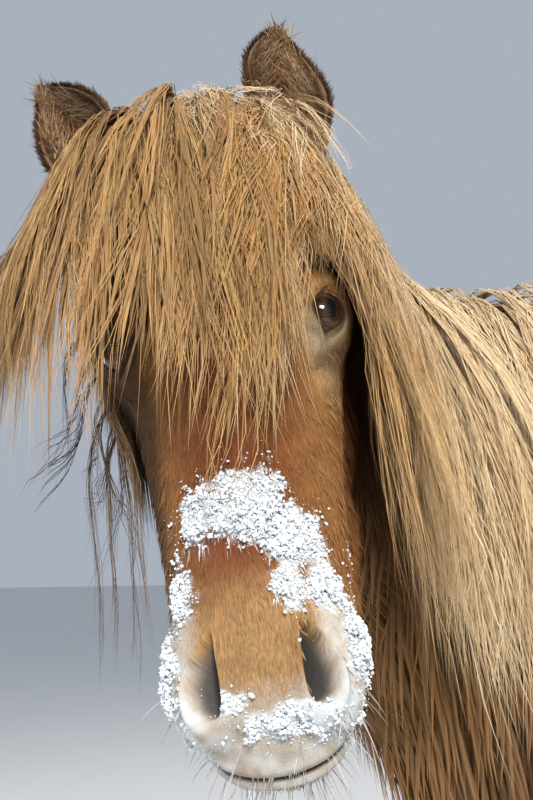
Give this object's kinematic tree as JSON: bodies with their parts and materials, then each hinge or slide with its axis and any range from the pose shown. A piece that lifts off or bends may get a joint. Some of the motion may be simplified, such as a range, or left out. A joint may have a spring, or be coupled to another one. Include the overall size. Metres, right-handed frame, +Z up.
{
  "type": "icelandic horse model",
  "caption": "Still, life-size model of an Icelandic horse in winter coat, standing and turning its head to its left, with a heavy forelock, mane and tail",
  "frame": {"origin": "middle of the whole box at floor level, under the belly", "axes": "+Z up, the horse's body faces -Y, its left side is +X"},
  "size_m": [0.656, 2.1494, 1.6316],
  "materials": {
    "head_coat": "matte chestnut hair with a tan forelock",
    "neck_coat_and_mane": "matte tan and pale gold hair",
    "body_coat": "matte long winter coat",
    "leg_coat": "matte short hair",
    "ear_coat": "matte short hair",
    "tail_hair": "matte pale gold hair",
    "hoof_horn": "dull dark horn",
    "eye_surface": "polished, nearly black"
  },
  "bodies": {
    "root": {"head": "head_coat", "neck": "neck_coat_and_mane", "torso": "body_coat", "tail": "tail_hair", "eye_left": "eye_surface", "ear_left": "ear_coat", "eye_right": "eye_surface", "ear_right": "ear_coat", "leg_front_left": "leg_coat", "hoof_front_left": "hoof_horn", "leg_front_right": "leg_coat", "hoof_front_right": "hoof_horn", "leg_hind_left": "leg_coat", "hoof_hind_left": "hoof_horn", "leg_hind_right": "leg_coat", "hoof_hind_right": "hoof_horn"}
  },
  "joints": []
}
